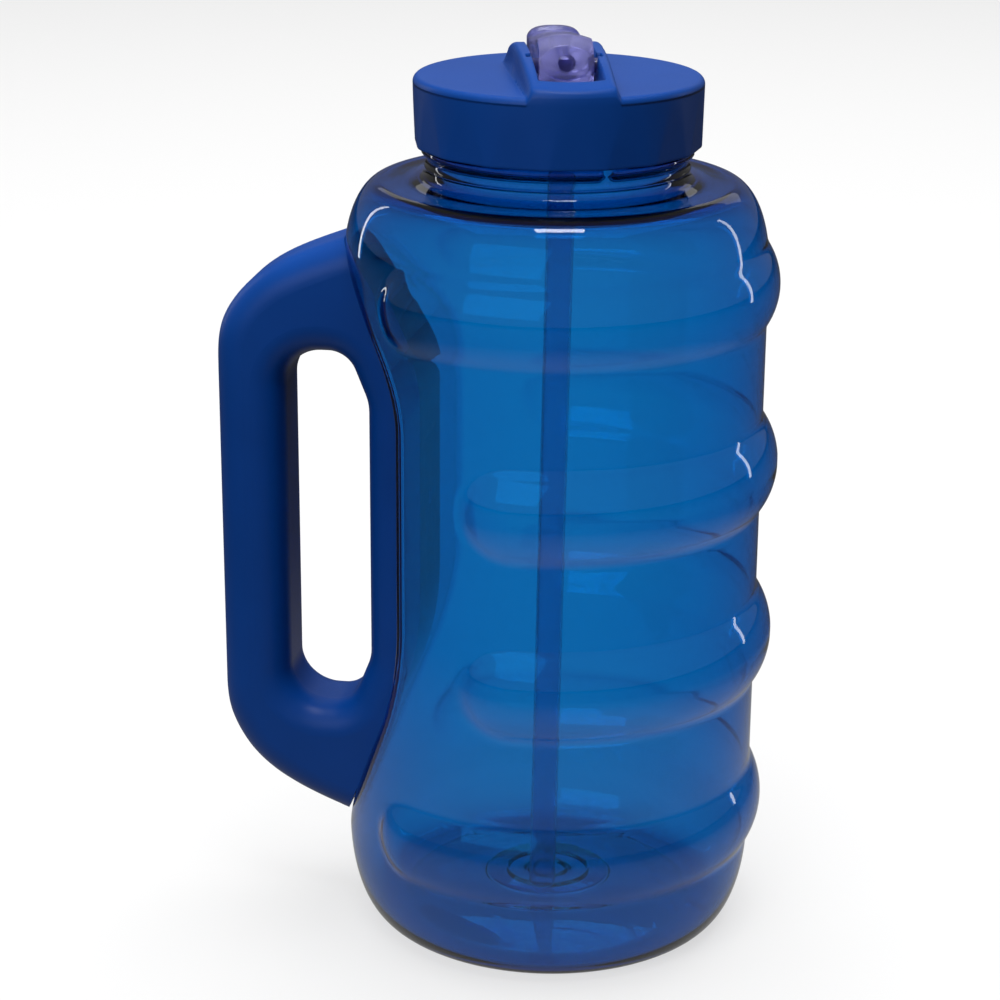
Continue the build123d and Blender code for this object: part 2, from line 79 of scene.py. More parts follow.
# Bottle
WALL_R = 60.0
WALL_T = 1.6
BASE_T = 2.6
FOOT_R = 49.5
FOOT_IN_R = 43.0
PUSH_UP = 4.6
BASE_DISC_R = 18.8
BASE_DISC_H = 0.9
BASE_RIB_H = 0.4  # raised rings on the base disc, above the disc
CORNER_Z = 27.5
SHOULDER_Z = 199.0
SHOULDER_TOP_Z = 222.6
SHOULDER_IN_R = 49.2
SHOULDER_T = 2.3  # wall at the shoulder's top
NECK_R = 36.5
NECK_T = 2.2
NECK_TOP_Z = 247.6
RINGS = [  # centre height, half height, depth, half angle left plain at the handle
    (37.6, 11.5, 3.6, radians(43)),
    (90.05, 13.25, 4.7, radians(73)),
    (142.1, 13.1, 4.7, radians(73)),
    (194.15, 10.85, 3.4, radians(45)),
]
CREASE_R = 0.9
NO_RING = 30.0
RECESS_X = 37.8
RECESS_LOW_Z = 84.0
RECESS_HIGH_Z = 170.0
MOUTH_LOW_Z = 28.0
MOUTH_HIGH_Z = 206.0
RECESS_BEND = 7.0
RECESS_EDGE = 3.0
PITCH = 6.0
THREAD_Z = 236.0
THREAD_TURNS = 1.25
THREAD_H = 1.5
BEAD_GAP_ANGLE = radians(-61)
AROUND = 288  # points round the bottle

# Lid
LID_TURN = radians(14.0)
FORWARD = Vector((sin(LID_TURN), -cos(LID_TURN), 0))
SIDEWAYS = Vector((cos(LID_TURN), sin(LID_TURN), 0))
LID_LOW_Z = 232.7
LID_TOP_Z = 252.0
LID_LOW_R = 40.15
LID_TOP_R = 40.5
LID_PLATE_T = 2.4
LID_INNER_R = 38.45
LID_RIM_R = 2.0
FACETS = 16
FACET_DEPTH = 0.8
FACET_TOP_Z = 247.0
SADDLE_HALF_W = 12.95
SADDLE_BACK_U = -22.0
WALL_BLEND = 0.9  # width over which an upright wall of the lid rises
EAR_TOP_U = -2.0
EAR_TOP_Z = 260.0
EAR_EDGE_R = 1.8
APRON_Z = 256.7
APRON_R = 33.0
TROUGH_HALF_W = 8.4
TROUGH_FRONT_R = 33.4
TROUGH_Z = 252.2
PIVOT_U = 12.5
PIVOT_Z = 256.4
SEAT_R = 9.2
SNAP_HALF_U = 1.5
SNAP_HALF_V = 10.2
SNAP_Z = 257.0
BLOCK_LOW_Z = 243.0
LID_AROUND = 600
LID_STEP = 0.4

# Spout
SPOUT_HALF_W = 7.4
BARREL_R = 8.6
BARREL_SIDE_R = 7.2
PORT_FACE = 7.3
PORT_RISE = radians(14.0)
PORT_R = 2.4
PIN_R = 2.0
SPOUT_BACK_U = -17.0
MOUTH_Z = 258.8
TIP_EDGE_R = 1.2
MOUTH_SQUARE = 2.8


# ---- small helpers ----

def smooth_max(a, b, k):
    """The larger of a and b, rounded over a width k."""
    h = np.clip(0.5 + 0.5 * (a - b) / k, 0, 1)
    return b + (a - b) * h + k * h * (1 - h)


def smooth_min(a, b, k):
    return -smooth_max(-a, -b, k)


def smoothstep(low, high, x):
    t = np.clip((x - low) / (high - low), 0, 1)
    return t * t * (3 - 2 * t)


def grid_mesh(name, points, close_start=False, close_end=False, ngon_caps=False):
    """A mesh from an array of rings of points, each ring closed round, with optional end caps."""
    rows, count = points.shape[:2]
    verts = points.reshape(-1, 3)
    i = np.arange(rows - 1)[:, None] * count
    j = np.arange(count)[None, :]
    k = (j + 1) % count
    quads = np.stack([i + j, i + k, i + count + k, i + count + j], axis=-1).reshape(-1, 4)
    faces = quads.tolist()
    extra = []
    if ngon_caps:
        faces.append(list(range(count))[::-1])
        faces.append(list(range((rows - 1) * count, rows * count)))
    if close_start:
        extra.append(points[0].mean(axis=0))
        centre = len(verts)
        faces += [[centre, (n + 1) % count, n] for n in range(count)]
    if close_end:
        extra.append(points[-1].mean(axis=0))
        centre = len(verts) + len(extra) - 1
        last = (rows - 1) * count
        faces += [[centre, last + n, last + (n + 1) % count] for n in range(count)]
    if extra:
        verts = np.vstack([verts, extra])
    mesh = bpy.data.meshes.new(name)
    mesh.from_pydata((verts * MM).tolist(), [], faces)
    mesh.update()
    obj = bpy.data.objects.new(name, mesh)
    bpy.context.collection.objects.link(obj)
    finish_mesh(obj)
    return obj


def finish_mesh(obj):
    """Outward normals and smooth shading."""
    work = bmesh.new()
    work.from_mesh(obj.data)
    bmesh.ops.recalc_face_normals(work, faces=work.faces)
    work.to_mesh(obj.data)
    work.free()
    obj.data.shade_smooth()


def new_mesh_from(obj):
    """Bakes an object's modifiers into its mesh."""
    bpy.context.view_layer.update()
    found = obj.evaluated_get(bpy.context.evaluated_depsgraph_get())
    mesh = bpy.data.meshes.new_from_object(found)
    obj.modifiers.clear()
    obj.data = mesh


def cut(obj, cutters):
    """Takes the cutters' shapes out of a closed mesh, and removes the cutters."""
    for cutter in cutters:
        modifier = obj.modifiers.new("cut", "BOOLEAN")
        modifier.operation = "DIFFERENCE"
        modifier.solver = "EXACT"
        modifier.object = cutter
    new_mesh_from(obj)
    for cutter in cutters:
        bpy.data.objects.remove(cutter)
    obj.data.shade_smooth()
    obj.data.set_sharp_from_angle(angle=radians(38))


def dress(obj, material, body, slot, *nodes):
    """Gives a piece its material and its body, and hides the CAD nodes it stands for; slot is not used.
    """
    obj.data.materials.clear()
    obj.data.materials.append(material)
    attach(obj, body)
    if nodes:
        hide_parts(*nodes)


def carry_over(node, material):
    """A CAD node that is shown as it is, in its own material."""
    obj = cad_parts[node]
    obj.data.materials.clear()
    obj.data.materials.append(material)


def curve_steps(corners, step):
    """Points about step apart along straight runs between corners."""
    points = []
    for (r0, z0), (r1, z1) in zip(corners, corners[1:]):
        n = max(1, round(hypot(r1 - r0, z1 - z0) / step))
        points += [(r0 + (r1 - r0) * i / n, z0 + (z1 - z0) * i / n) for i in range(n)]
    return points + [corners[-1]]


# ---- materials ----

def new_material(name):
    material = bpy.data.materials.new(name)
    material.use_nodes = True
    nodes = material.node_tree.nodes
    return material, material.node_tree, nodes["Principled BSDF"]


def add_bump(tree, shader, scale, strength, distance, detail=3.0):
    """Fine moulded texture in object space, on the shader's normal."""
    nodes, links = tree.nodes, tree.links
    coords = nodes.new("ShaderNodeTexCoord")
    noise = nodes.new("ShaderNodeTexNoise")
    noise.inputs["Scale"].default_value = scale
    noise.inputs["Detail"].default_value = detail
    bump = nodes.new("ShaderNodeBump")
    bump.inputs["Strength"].default_value = strength
    bump.inputs["Distance"].default_value = distance
    links.new(coords.outputs["Object"], noise.inputs["Vector"])
    links.new(noise.outputs["Fac"], bump.inputs["Height"])
    links.new(bump.outputs["Normal"], shader.inputs["Normal"])
    return coords, noise


def clear_blue():
    """Clear azure copolyester: tinted through its thickness."""
    material, tree, shader = new_material("clear_blue")
    shader.inputs["Base Color"].default_value = (0.93, 0.97, 1.0, 1)
    shader.inputs["Transmission Weight"].default_value = 1.0
    shader.inputs["IOR"].default_value = 1.56
    shader.inputs["Roughness"].default_value = 0.015
    absorb = tree.nodes.new("ShaderNodeVolumeAbsorption")
    absorb.inputs["Color"].default_value = (0.0, 0.75, 0.885, 1)
    absorb.inputs["Density"].default_value = 2400.0
    output = tree.nodes["Material Output"]
    tree.links.new(absorb.outputs["Volume"], output.inputs["Volume"])
    return material


def blue_plastic():
    """Opaque royal blue polypropylene with a fine satin texture."""
    material, tree, shader = new_material("blue_plastic")
    shader.inputs["IOR"].default_value = 1.5
    shader.inputs["Specular IOR Level"].default_value = 0.3
    coords, noise = add_bump(tree, shader, 2600.0, 0.12, 0.0001)
    nodes, links = tree.nodes, tree.links
    cloud = nodes.new("ShaderNodeTexNoise")
    cloud.inputs["Scale"].default_value = 35.0
    cloud.inputs["Detail"].default_value = 4.0
    links.new(coords.outputs["Object"], cloud.inputs["Vector"])
    tint = nodes.new("ShaderNodeValToRGB")
    tint.color_ramp.elements[0].position = 0.3
    tint.color_ramp.elements[0].color = (0.0008, 0.034, 0.19, 1)
    tint.color_ramp.elements[1].position = 0.7
    tint.color_ramp.elements[1].color = (0.0012, 0.039, 0.215, 1)
    links.new(cloud.outputs["Fac"], tint.inputs["Fac"])
    links.new(tint.outputs["Color"], shader.inputs["Base Color"])
    rough = nodes.new("ShaderNodeMapRange")
    rough.inputs["To Min"].default_value = 0.34
    rough.inputs["To Max"].default_value = 0.44
    links.new(noise.outputs["Fac"], rough.inputs["Value"])
    links.new(rough.outputs["Result"], shader.inputs["Roughness"])
    return material


def smoky_plastic():
    """Translucent smoky violet-blue plastic."""
    material, tree, shader = new_material("smoky_spout")
    shader.inputs["Base Color"].default_value = (0.2, 0.2, 0.5, 1)
    shader.inputs["Transmission Weight"].default_value = 0.8
    shader.inputs["IOR"].default_value = 1.5
    coords, noise = add_bump(tree, shader, 900.0, 0.05, 0.0001)
    rough = tree.nodes.new("ShaderNodeMapRange")
    rough.inputs["To Min"].default_value = 0.16
    rough.inputs["To Max"].default_value = 0.26
    tree.links.new(noise.outputs["Fac"], rough.inputs["Value"])
    tree.links.new(rough.outputs["Result"], shader.inputs["Roughness"])
    return material


def straw_plastic():
    """Thin translucent tube."""
    material, tree, shader = new_material("straw_blue")
    shader.inputs["Base Color"].default_value = (0.55, 0.8, 0.95, 1)
    shader.inputs["Transmission Weight"].default_value = 0.9
    shader.inputs["IOR"].default_value = 1.3
    coords, noise = add_bump(tree, shader, 700.0, 0.08, 0.0001)
    rough = tree.nodes.new("ShaderNodeMapRange")
    rough.inputs["To Min"].default_value = 0.1
    rough.inputs["To Max"].default_value = 0.2
    tree.links.new(noise.outputs["Fac"], rough.inputs["Value"])
    tree.links.new(rough.outputs["Result"], shader.inputs["Roughness"])
    return material


def silicone():
    """Milky matt silicone."""
    material, tree, shader = new_material("seal_rubber")
    shader.inputs["Base Color"].default_value = (0.72, 0.76, 0.8, 1)
    shader.inputs["Transmission Weight"].default_value = 0.3
    shader.inputs["IOR"].default_value = 1.42
    coords, noise = add_bump(tree, shader, 1500.0, 0.1, 0.0001)
    rough = tree.nodes.new("ShaderNodeMapRange")
    rough.inputs["To Min"].default_value = 0.45
    rough.inputs["To Max"].default_value = 0.6
    tree.links.new(noise.outputs["Fac"], rough.inputs["Value"])
    tree.links.new(rough.outputs["Result"], shader.inputs["Roughness"])
    return material


# ---- bottle ----

def ring_radius(angle, z, inset):
    """Radius of the pressed rings at each angle from the handle and height."""
    best = np.full(np.broadcast(angle, z).shape, NO_RING)
    for centre_z, half, depth, plain in RINGS:
        ball = (half**2 + depth**2) / (2 * depth)
        centre = WALL_R + depth - ball
        x = (WALL_R**2 - ball**2 + centre**2) / (2 * centre)
        end = plain + atan2(sqrt(WALL_R**2 - x * x), x)
        past = np.clip(end - angle, 0, None)
        inner = (ball - inset) ** 2 - (z - centre_z) ** 2 - (centre * np.sin(past)) ** 2
        reach = np.where(np.cos(past) > 0, centre * np.cos(past), 0) + np.sqrt(np.clip(inner, 0, None))
        best = np.maximum(best, np.where(inner > 0, reach, NO_RING))
    return best


def recess_radius(angle, z, inset):
    """Radius at which the handle's recess cuts the wall."""
    rise = (MOUTH_HIGH_Z - RECESS_HIGH_Z) / (WALL_R - RECESS_X)
    fall = (RECESS_LOW_Z - MOUTH_LOW_Z) / (WALL_R - RECESS_X)
    slope = np.maximum((z - RECESS_HIGH_Z) / rise, (RECESS_LOW_Z - z) / fall)
    x = RECESS_X - inset + smooth_max(slope, np.zeros_like(slope), RECESS_BEND)
    away = np.maximum(np.cos(angle), 0.05)
    return x / away


def body_radius(r, z, angle, inset):
    """The plain profile's radius r at height z, with the rings and the recess worked in."""
    body = smooth_max(r, ring_radius(angle, z, inset), CREASE_R)
    return smooth_min(body, recess_radius(angle, z, inset), RECESS_EDGE)


def body_profile(inset, base_z, step, top):
    """Half section from the middle of the base to the shoulder's top."""
    wall = WALL_R - inset
    dome = PUSH_UP + base_z
    disc = dome + BASE_DISC_H
    rib = disc + BASE_RIB_H
    low_rib = disc + 0.3
    fine = 0.5
    points = curve_steps([(0.4, disc), (5, disc)], step)
    points += curve_steps([(5.4, rib), (6.0, rib), (6.4, disc)], fine)
    points += curve_steps([(11.5, disc), (11.9, low_rib), (12.5, low_rib), (12.9, disc)], fine)
    points += curve_steps([(18.0, disc), (BASE_DISC_R, dome)], fine)
    span = FOOT_IN_R - BASE_DISC_R
    for i in range(1, 25):
        t = i / 24
        points.append((BASE_DISC_R + span * t, base_z + (dome - base_z) * (1 - t * t)))
    points += curve_steps([(FOOT_IN_R + 0.5, base_z), (FOOT_R, base_z)], step)
    for i in range(1, 40):
        a = pi / 2 * i / 39
        points.append((FOOT_R + (wall - FOOT_R) * sin(a), CORNER_Z - (CORNER_Z - base_z) * cos(a)))
    points += curve_steps([(wall, CORNER_Z + step), (wall, SHOULDER_Z - step)], step)
    for i in range(0, 40):
        a = pi / 2 * i / 39
        r = SHOULDER_IN_R + (wall - SHOULDER_IN_R) * cos(a)
        points.append((r, SHOULDER_Z + (top - SHOULDER_Z) * sin(a)))
    return np.array(points)


def neck_profile():
    """Half section of the neck from the shoulder up its outside, over the rim and down the bore."""
    root = 3.0
    points = [(46.5, SHOULDER_TOP_Z - 0.05), (43.5, SHOULDER_TOP_Z), (41.0, SHOULDER_TOP_Z + 0.2)]
    for i in range(9):
        a = pi / 2 * i / 8
        points.append((NECK_R + root - root * sin(a), SHOULDER_TOP_Z + 0.7 + root * (1 - cos(a))))
    bead = [(36.5, 226.0), (37.1, 226.3), (37.3, 226.6), (37.1, 226.9), (36.5, 227.2), (36.5, 229.9),
            (37.6, 230.2), (38.1, 230.6), (38.1, 231.8), (37.7, 232.2), (36.5, 232.5)]
    points += [(r, z) for r, z in bead]
    points += curve_steps([(NECK_R, 233.0), (NECK_R, NECK_TOP_Z - 0.6)], 0.25)
    bore = NECK_R - NECK_T
    rim = 0.6
    points += [(NECK_R - 0.2, NECK_TOP_Z - 0.2), (NECK_R - rim, NECK_TOP_Z)]
    points += [(bore + rim, NECK_TOP_Z), (bore + 0.2, NECK_TOP_Z - 0.2)]
    points += curve_steps([(bore, NECK_TOP_Z - rim), (bore, SHOULDER_TOP_Z + 1)], 1.2)
    points += [(bore + 0.5, SHOULDER_TOP_Z - 0.8), (bore + 1.8, SHOULDER_TOP_Z - 1.7),
               (bore + 4.5, SHOULDER_TOP_Z - SHOULDER_T)]
    return np.array(points)


def thread_bump(angle_x, z):
    """Height of the neck's screw ridge; angle_x runs from +X."""
    bump = np.zeros(np.broadcast(angle_x, z).shape)
    turn = np.mod(angle_x, 2 * pi) / (2 * pi)
    for lap in range(2):
        along = turn + lap
        centre = THREAD_Z + PITCH * along
        side = 1 - smoothstep(0.55, 1.15, np.abs(z - centre))
        ends = smoothstep(0, 0.02, along) * (1 - smoothstep(THREAD_TURNS - 0.02, THREAD_TURNS, along))
        bump = np.maximum(bump, side * ends)
    return bump * THREAD_H


def bead_gap(angle_x, z):
    """1 inside the gap in the ring under the lid, 0 elsewhere."""
    off = np.abs(np.mod(angle_x - BEAD_GAP_ANGLE + pi, 2 * pi) - pi) * NECK_R
    near = (z > 229.9) & (z < 232.6)
    return (1 - smoothstep(1.2, 1.8, off)) * near


def make_bottle(material):
    count = AROUND
    around = np.linspace(-pi, pi, count, endpoint=False)
    angle = np.abs(np.mod(around, 2 * pi) - pi)  # from the handle, which points along -X
    step = 1.1
    rows = []
    outer = body_profile(0, 0, step, SHOULDER_TOP_Z)
    inner = body_profile(WALL_T, BASE_T, 1.6, SHOULDER_TOP_Z - SHOULDER_T)[::-1]
    neck = neck_profile()
    for points, inset in ((outer, 0), (inner, WALL_T)):
        r = points[:, 0][:, None]
        z = points[:, 1][:, None]
        wall = body_radius(r + 0 * angle, z + 0 * angle, angle[None, :], inset)
        plain = np.broadcast_to(r, wall.shape)
        rows.append((np.where(r < NECK_R, plain, wall), np.broadcast_to(z, wall.shape)))
    r = np.broadcast_to(neck[:, 0][:, None], (len(neck), count)).copy()
    z = np.broadcast_to(neck[:, 1][:, None], (len(neck), count))
    outside = r > NECK_R - 0.01
    r += np.where(outside, thread_bump(around[None, :], z), 0)
    r -= np.where(outside, bead_gap(around[None, :], z) * np.clip(r - NECK_R, 0, None), 0)
    r = np.minimum(r, np.where(z > 233, 38.05, r))
    rows.insert(1, (r, z))
    radius = np.minimum(np.vstack([row[0] for row in rows]), min(cad_box[1][:2]) / MM)
    height = np.vstack([row[1] for row in rows])
    points = np.stack([radius * np.cos(around), radius * np.sin(around), height], axis=-1)
    bottle = grid_mesh("bottle_shell", points, close_start=True, close_end=True)
    dress(bottle, material, "jug", "clear_blue", "bottle")
    return bottle


# ---- lid ----

def on_line(value, line, reach):
    """The value, moved to the line where it is within reach of it, so that edges run straight."""
    return np.where(np.abs(value - line) < reach, line, value)


def saddle_half(u):
    """Half width of the saddle, a little less in front."""
    return SADDLE_HALF_W - 0.02 * u


def saddle_arch(u):
    """Height of the ears along the lid's front-to-back line."""
    front = EAR_TOP_Z - 4.0 * ((u - EAR_TOP_U) / 34) ** 2
    back = (EAR_TOP_U - u) / (EAR_TOP_U - SADDLE_BACK_U)
    rear = LID_TOP_Z + (EAR_TOP_Z - LID_TOP_Z) * np.sqrt(np.clip(1 - back**2, 0, 1))
    return np.where(u > EAR_TOP_U, front, rear)


def apron_dome(r):
    """The round front of the saddle, which comes down to the lid's edge."""
    out = np.clip((r - APRON_R) / (LID_TOP_R + 0.1 - APRON_R), 0, 1)
    drop = LID_TOP_Z - 0.8
    dome = drop + (APRON_Z - drop) * np.sqrt(1 - out**2)
    return dome + 0.5 * np.clip(APRON_R - r, 0, None)


def lid_height(u, v, plain):
    """Height of the lid's upper side; plain is its height without the saddle."""
    r = np.hypot(u, v)
    side = np.abs(v)
    arch = smooth_min(saddle_arch(u), apron_dome(r), 0.6)
    inside = saddle_half(u) - side
    rounding = np.clip(EAR_EDGE_R + WALL_BLEND / 2 - inside, 0, EAR_EDGE_R)
    arch = arch - (EAR_EDGE_R - np.sqrt(EAR_EDGE_R**2 - rounding**2)) * np.clip((arch - plain) / 4, 0, 1)
    rise = np.clip(arch - plain, 0, None)
    z = plain + rise * smoothstep(-WALL_BLEND / 2, WALL_BLEND / 2, inside) * (u > SADDLE_BACK_U)
    half = WALL_BLEND / 2
    trough = smoothstep(-half, half, TROUGH_HALF_W + 0.2 - side)
    trough = trough * smoothstep(-half, half, TROUGH_FRONT_R + 0.2 - r)
    floor = np.minimum(np.full_like(z, TROUGH_Z), z)
    z = z + (floor - z) * trough * (u > SADDLE_BACK_U)
    snap = smoothstep(-0.3, 0.3, SNAP_HALF_U - np.abs(u - PIVOT_U))
    snap = snap * smoothstep(-0.3, 0.3, SNAP_HALF_V - side)
    z = z + (np.minimum(z, SNAP_Z) - z) * snap * (side > TROUGH_HALF_W - 0.5)
    across = np.clip(SEAT_R**2 - (u - PIVOT_U) ** 2, 0, None)
    seat = np.where(across > 0, PIVOT_Z - np.sqrt(across), z)
    well = smoothstep(-half, half, TROUGH_HALF_W + 0.2 - side)
    return z + (np.minimum(z, seat) - z) * well


def facet_radius(angle, z):
    """Radius of the skirt, with shallow flats that fade out towards the top."""
    plain = LID_LOW_R + (LID_TOP_R - LID_LOW_R) * (z - LID_LOW_Z) / (LID_TOP_Z - LID_LOW_Z)
    pitch = 2 * pi / FACETS
    off = np.mod(angle + pitch / 2, pitch) - pitch / 2
    flat = LID_LOW_R + 0.25 - FACET_DEPTH * (FACET_TOP_Z - z) / (FACET_TOP_Z - LID_LOW_Z)
    return smooth_min(plain + 0 * off, flat / np.cos(off), 0.12)


def block_height(u, v):
    """Height of the lid's underside, with the block under the spout's seat."""
    under = LID_TOP_Z - LID_PLATE_T
    inside = np.minimum(10.4 - np.abs(v), 11.5 - np.abs(u - 12.5))
    return under + (BLOCK_LOW_Z - under) * smoothstep(-0.6, 0.6, inside)


def make_lid(material):
    around = np.linspace(0, 2 * pi, LID_AROUND, endpoint=False)
    rows = []  # radius and height, each an array round the lid
    for r in np.arange(1, 38, 1.2):
        rows.append((r + 0 * around, block_height(r * np.cos(around), r * np.sin(around))))
    for z in np.arange(LID_TOP_Z - LID_PLATE_T - 0.1, LID_LOW_Z + 0.4, -0.5):
        along = np.mod(around, 2 * pi) / (2 * pi)
        ridge = 1 - smoothstep(0.5, 1.2, np.abs(z - THREAD_Z - PITCH / 2 - PITCH * along))
        rows.append((LID_INNER_R - 1.2 * ridge, z + 0 * around))
    low = facet_radius(around, LID_LOW_Z)
    rows.append((LID_INNER_R + 0.2 + 0 * around, LID_LOW_Z + 0 * around))
    rows.append((low - 0.4, LID_LOW_Z + 0 * around))
    rim_z = LID_TOP_Z - LID_RIM_R
    skirt = [LID_LOW_Z + 0.12, LID_LOW_Z + 0.4, *np.arange(LID_LOW_Z + 0.8, rim_z, 0.8), rim_z]
    for z in skirt:
        inset = 0.12 if z < LID_LOW_Z + 0.2 else 0.0
        rows.append((facet_radius(around, z) - inset, z + 0 * around))
    rim_r = LID_TOP_R - 0.03 - LID_RIM_R
    for a in np.linspace(0, pi / 2, 10):
        rows.append((rim_r + LID_RIM_R * cos(a), rim_z + LID_RIM_R * sin(a)))
    for r in np.arange(rim_r - LID_STEP, 0.3, -LID_STEP):
        rows.append((r, LID_TOP_Z))
    points = []
    for r, z in rows:
        u, v = r * np.cos(around), r * np.sin(around)
        if np.ndim(z) == 0:
            reach = max(LID_STEP, r * 2 * pi / LID_AROUND) / 2
            wall = saddle_half(u)
            for line in (wall + 0.45, wall - 0.45, TROUGH_HALF_W + 0.65, TROUGH_HALF_W - 0.25):
                v = np.sign(v) * on_line(np.abs(v), line, reach)
            z = lid_height(u, v, z)
        points.append(np.stack([u, v, z + 0 * u], axis=-1))
    points = np.array(points)
    turned = points[..., :1] * np.array(FORWARD) + points[..., 1:2] * np.array(SIDEWAYS)
    turned[..., 2] = points[..., 2]
    lid = grid_mesh("lid_shell", turned, close_start=True, close_end=True)
    dress(lid, material, "cap", "blue_plastic", "lid")
    return lid


# ---- spout ----

def barrel_radius(v):
    return BARREL_R - (BARREL_R - BARREL_SIDE_R) * (v / SPOUT_HALF_W) ** 2


def mouthpiece_faces(u, v):
    """Heights of the mouthpiece's upper and lower sides, with the flange round its tip."""
    top = 262.25 + 1.75 * smoothstep(-11, 5, u) + 0.9 * smoothstep(12.4, 13.2, -u)
    low = 255.0 - 2.1 * smoothstep(-10, 7, u) - 0.8 * smoothstep(11.8, 13.2, -u)
    near_tip = np.clip(TIP_EDGE_R - (u - SPOUT_BACK_U), 0, TIP_EDGE_R)
    round_off = TIP_EDGE_R - np.sqrt(TIP_EDGE_R**2 - near_tip**2)
    flat = (1 - np.abs(v / (SPOUT_HALF_W * 1.02)) ** MOUTH_SQUARE) ** (1 / MOUTH_SQUARE)
    half = ((top - low) / 2 - round_off) * flat
    return (top + low) / 2 + half, (top + low) / 2 - half


def spout_section(v):
    """Side view of the spout at v beside its middle, as a closed run of (U, Z)."""
    r = barrel_radius(v)
    tip = SPOUT_BACK_U + TIP_EDGE_R * (1 - np.cos(np.linspace(0, pi / 2, 7)))
    back = np.concatenate([tip, np.linspace(-15.2, -11.6, 13), np.linspace(-11.0, PIVOT_U, 40)])
    top, low = mouthpiece_faces(back, v)
    arc = np.sqrt(np.clip(r**2 - (back - PIVOT_U) ** 2, 0, None))
    high = np.minimum(smooth_max(top, PIVOT_Z + arc, 1.2), cad_box[1][2] / MM)
    under = smooth_min(low, PIVOT_Z - arc, 1.2)
    face = [(u, z) for u, z in zip(back, high)]
    start = atan2(high[-1] - PIVOT_Z, 0)
    for a in np.linspace(start, -pi / 2, 60)[1:-1]:
        away = cos(a - PORT_RISE)
        reach = min(r, PORT_FACE / away) if away > 0.1 else r
        lift = (high[-1] - PIVOT_Z - r) * smoothstep(0.9, pi / 2, a)
        face.append((PIVOT_U + (reach + lift) * cos(a), PIVOT_Z + (reach + lift) * sin(a)))
    face += [(u, z) for u, z in zip(back[::-1], under[::-1])]
    face += [(SPOUT_BACK_U, z) for z in np.linspace(under[0], high[0], 8)[1:-1]]
    return face


def passage(start, end, r):
    """A cutter for a straight round passage between two (U, Z) points."""
    bottom = FORWARD * start[0] + Vector((0, 0, start[1]))
    top = FORWARD * end[0] + Vector((0, 0, end[1]))
    way = (top - bottom).normalized()
    across = way.cross(SIDEWAYS).normalized()
    turns = np.linspace(0, 2 * pi, 64, endpoint=False)
    ring = [(SIDEWAYS * cos(a) + across * sin(a)) * r for a in turns]
    rows = [[bottom + p for p in ring], [top + p for p in ring]]
    return grid_mesh("passage", np.array(rows, dtype=float), close_start=True, close_end=True)


def make_spout(material):
    rows = []
    for t in np.linspace(-1, 1, 41):
        v = SPOUT_HALF_W * sin(t * pi / 2)
        rows.append([FORWARD * u + SIDEWAYS * v + Vector((0, 0, z)) for u, z in spout_section(v)])
    spout = grid_mesh("spout_shell", np.array(rows, dtype=float), ngon_caps=True)
    pivot = (PIVOT_U, PIVOT_Z)
    port = (PIVOT_U + 12 * cos(PORT_RISE), PIVOT_Z + 12 * sin(PORT_RISE))
    drink = passage((PIVOT_U - 0.5, PIVOT_Z), (SPOUT_BACK_U - 3, MOUTH_Z), PORT_R)
    cut(spout, [passage(pivot, port, PORT_R), drink])
    dress(spout, material, "drinking_spout", "smoky_spout", "spout")
    ring = np.linspace(0, 2 * pi, 32, endpoint=False)
    root = SPOUT_HALF_W - 1
    for name, side in (("spout_pin_left", -1), ("spout_pin_right", 1)):
        rows = []
        for r, v in ((0.9, root), (PIN_R, root), (PIN_R, 10.3), (PIN_R - 0.3, 10.6)):
            centre = FORWARD * PIVOT_U + SIDEWAYS * side * v + Vector((0, 0, PIVOT_Z))
            rows.append([centre + FORWARD * r * cos(a) + Vector((0, 0, r * sin(a))) for a in ring])
        pin = grid_mesh(name, np.array(rows, dtype=float), close_start=True, close_end=True)
        dress(pin, material, "drinking_spout", "smoky_spout")


# ---- stage ----

def make_camera():
    data = bpy.data.cameras.new("camera")
    data.lens = CAMERA_LENS
    data.sensor_width = 36.0
    data.clip_start = 0.05
    camera = bpy.data.objects.new("camera", data)
    turn = Matrix.Rotation(CAMERA_TURN, 4, "Z")
    tilt = Matrix.Rotation(pi / 2 - CAMERA_DOWN, 4, "X")
    roll = Matrix.Rotation(CAMERA_ROLL, 4, "Z")
    camera.matrix_world = Matrix.Translation(Vector(CAMERA_AT) * MM) @ turn @ tilt @ roll
    bpy.context.collection.objects.link(camera)
    bpy.context.scene.camera = camera
    return camera


def add_light(name, place, target, size, power):
    data = bpy.data.lights.new(name, "AREA")
    data.shape = "RECTANGLE"
    data.size, data.size_y = size
    data.energy = power
    light = bpy.data.objects.new(name, data)
    light.location = place
    look = Vector(target) - Vector(place)
    light.rotation_euler = look.to_track_quat("-Z", "Y").to_euler()
    light.visible_camera = False
    bpy.context.collection.objects.link(light)
    return light


def seen_or_lit(tree, lit, seen):
    """One number for rays from the eye or through clear plastic (seen), another for all others (lit)."""
    nodes, links = tree.nodes, tree.links
    path = nodes.new("ShaderNodeLightPath")
    either = nodes.new("ShaderNodeMath")
    either.operation = "MAXIMUM"
    level = nodes.new("ShaderNodeMapRange")
    level.inputs["To Min"].default_value = lit
    level.inputs["To Max"].default_value = seen
    links.new(path.outputs["Is Camera Ray"], either.inputs[0])
    links.new(path.outputs["Is Transmission Ray"], either.inputs[1])
    links.new(either.outputs["Value"], level.inputs["Value"])
    return level.outputs["Result"]


